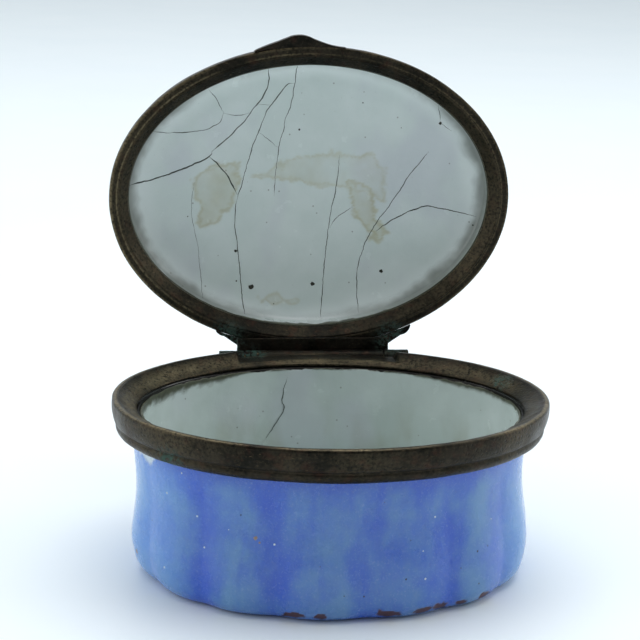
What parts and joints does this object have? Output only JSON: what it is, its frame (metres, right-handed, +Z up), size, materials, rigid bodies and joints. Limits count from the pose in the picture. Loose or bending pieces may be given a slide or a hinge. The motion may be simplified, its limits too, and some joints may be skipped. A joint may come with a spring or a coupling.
{
  "type": "pill box",
  "caption": "Small oval enamel-on-copper pill box: blue fluted tub, white inside, tarnished gilt-metal mounts and a domed lid that stands open on a rear knuckle hinge.",
  "frame": {"origin": "middle of the flat base, on the surface the box rests on", "axes": "+X right along the long axis of the oval, -Y front (thumbpiece), +Y back (hinge), +Z up"},
  "size_m": [0.045, 0.0426, 0.0538],
  "materials": {
    "blue_enamel": "glossy vitreous enamel, mottled mid blue",
    "white_enamel": "glossy vitreous enamel, crackled grey-white",
    "lid_enamel": "glossy vitreous enamel, plain pale ground with a blue border",
    "copper_core": "dull oxidised copper",
    "gilt_metal": "tarnished gilt brass with verdigris",
    "brass_pin": "tarnished brass"
  },
  "bodies": {
    "box": {"body_outer_enamel": "blue_enamel", "body_copper": "copper_core", "body_inner_enamel": "white_enamel", "body_mount": "gilt_metal", "body_bezel": "gilt_metal", "body_hinge_plate": "gilt_metal", "body_knuckle_left": "gilt_metal", "body_knuckle_right": "gilt_metal", "hinge_pin": "brass_pin"},
    "lid": {"lid_outer_enamel": "lid_enamel", "lid_copper": "copper_core", "lid_inner_enamel": "white_enamel", "lid_mount": "gilt_metal", "lid_bezel": "gilt_metal", "lid_hinge_plate": "gilt_metal", "lid_knuckle": "gilt_metal", "thumbpiece": "gilt_metal"}
  },
  "joints": [
    {"name": "lid_hinge", "type": "hinge", "parent": "box", "child": "lid", "pos_m": [0.0006, 0.0177, 0.0172], "axis": [1, 0, 0], "range_deg": [0, 90]}
  ]
}
